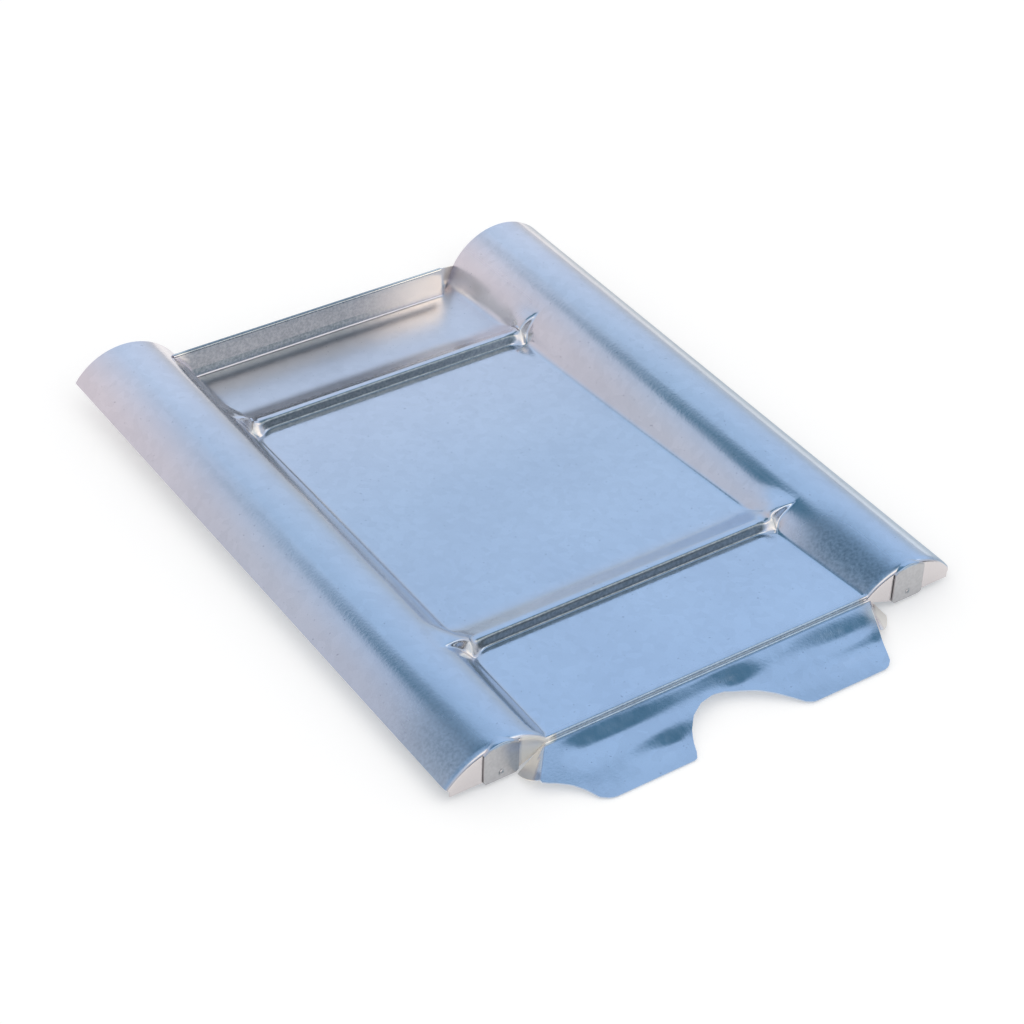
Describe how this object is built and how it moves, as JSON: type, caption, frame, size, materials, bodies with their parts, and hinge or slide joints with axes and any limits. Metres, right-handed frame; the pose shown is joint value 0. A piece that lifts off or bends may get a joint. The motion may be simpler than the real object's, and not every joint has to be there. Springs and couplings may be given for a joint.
{
  "type": "metal roof tile",
  "caption": "Pressed galvanised steel roof tile with round side ribs, beads across its pan, an upstand at the head and a toothed apron at the nose.",
  "frame": {"origin": "middle of the tile's outline, at the level of its lowest edge, the apron's teeth", "axes": "+X across the roof, +Y up the slope to the head, +Z away from the roof, square to the flat pan"},
  "size_m": [0.318, 0.419, 0.0432],
  "materials": {
    "galvanised_steel": "semi-bright zinc coating with faint spangle"
  },
  "bodies": {
    "root": {"tile_sheet": "galvanised_steel"}
  },
  "joints": []
}
